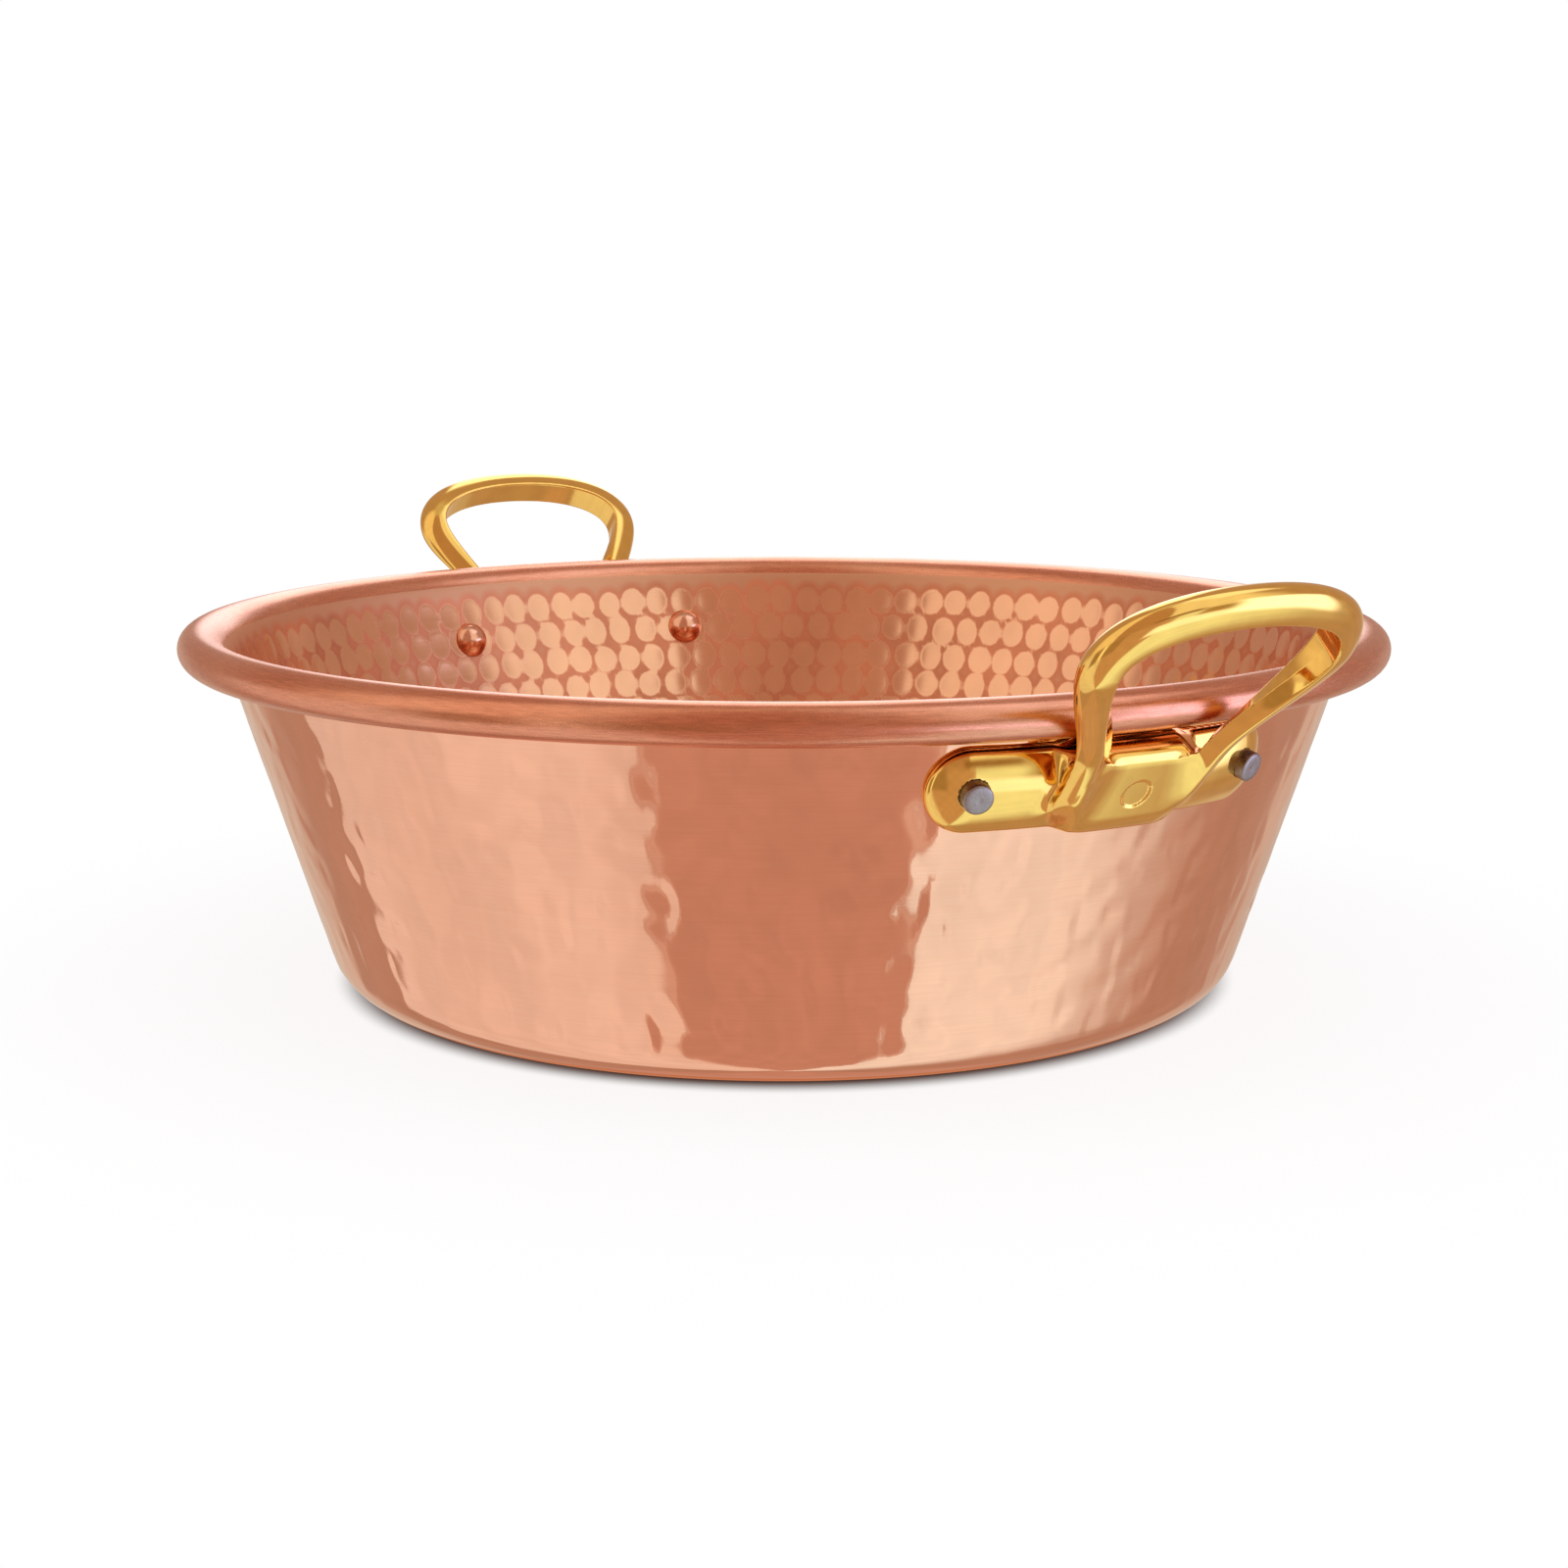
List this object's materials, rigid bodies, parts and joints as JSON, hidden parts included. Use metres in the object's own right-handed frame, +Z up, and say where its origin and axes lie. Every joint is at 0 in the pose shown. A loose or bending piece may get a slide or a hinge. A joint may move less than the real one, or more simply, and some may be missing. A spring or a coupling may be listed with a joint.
{
  "type": "jam pan",
  "caption": "Wide open copper pan with a wired rolled rim and two riveted cast brass loop handles, for boiling jam and preserves on a stove.",
  "frame": {"origin": "centre of the base, on the plane that the pan stands on", "axes": "+Z up out of the mouth, +X through the middle of the front handle"},
  "size_m": [0.4676, 0.384, 0.148],
  "materials": {
    "copper_shell": "hammered and polished copper",
    "steel_wire": "drawn wire",
    "cast_brass": "polished casting",
    "rivet_metal": "satin ends outside, copper coloured heads inside"
  },
  "bodies": {
    "root": {"pan_body": "copper_shell", "rim_wire": "steel_wire", "front_handle": "cast_brass", "rear_handle": "cast_brass", "front_left_rivet": "rivet_metal", "front_right_rivet": "rivet_metal", "rear_left_rivet": "rivet_metal", "rear_right_rivet": "rivet_metal"}
  },
  "joints": []
}
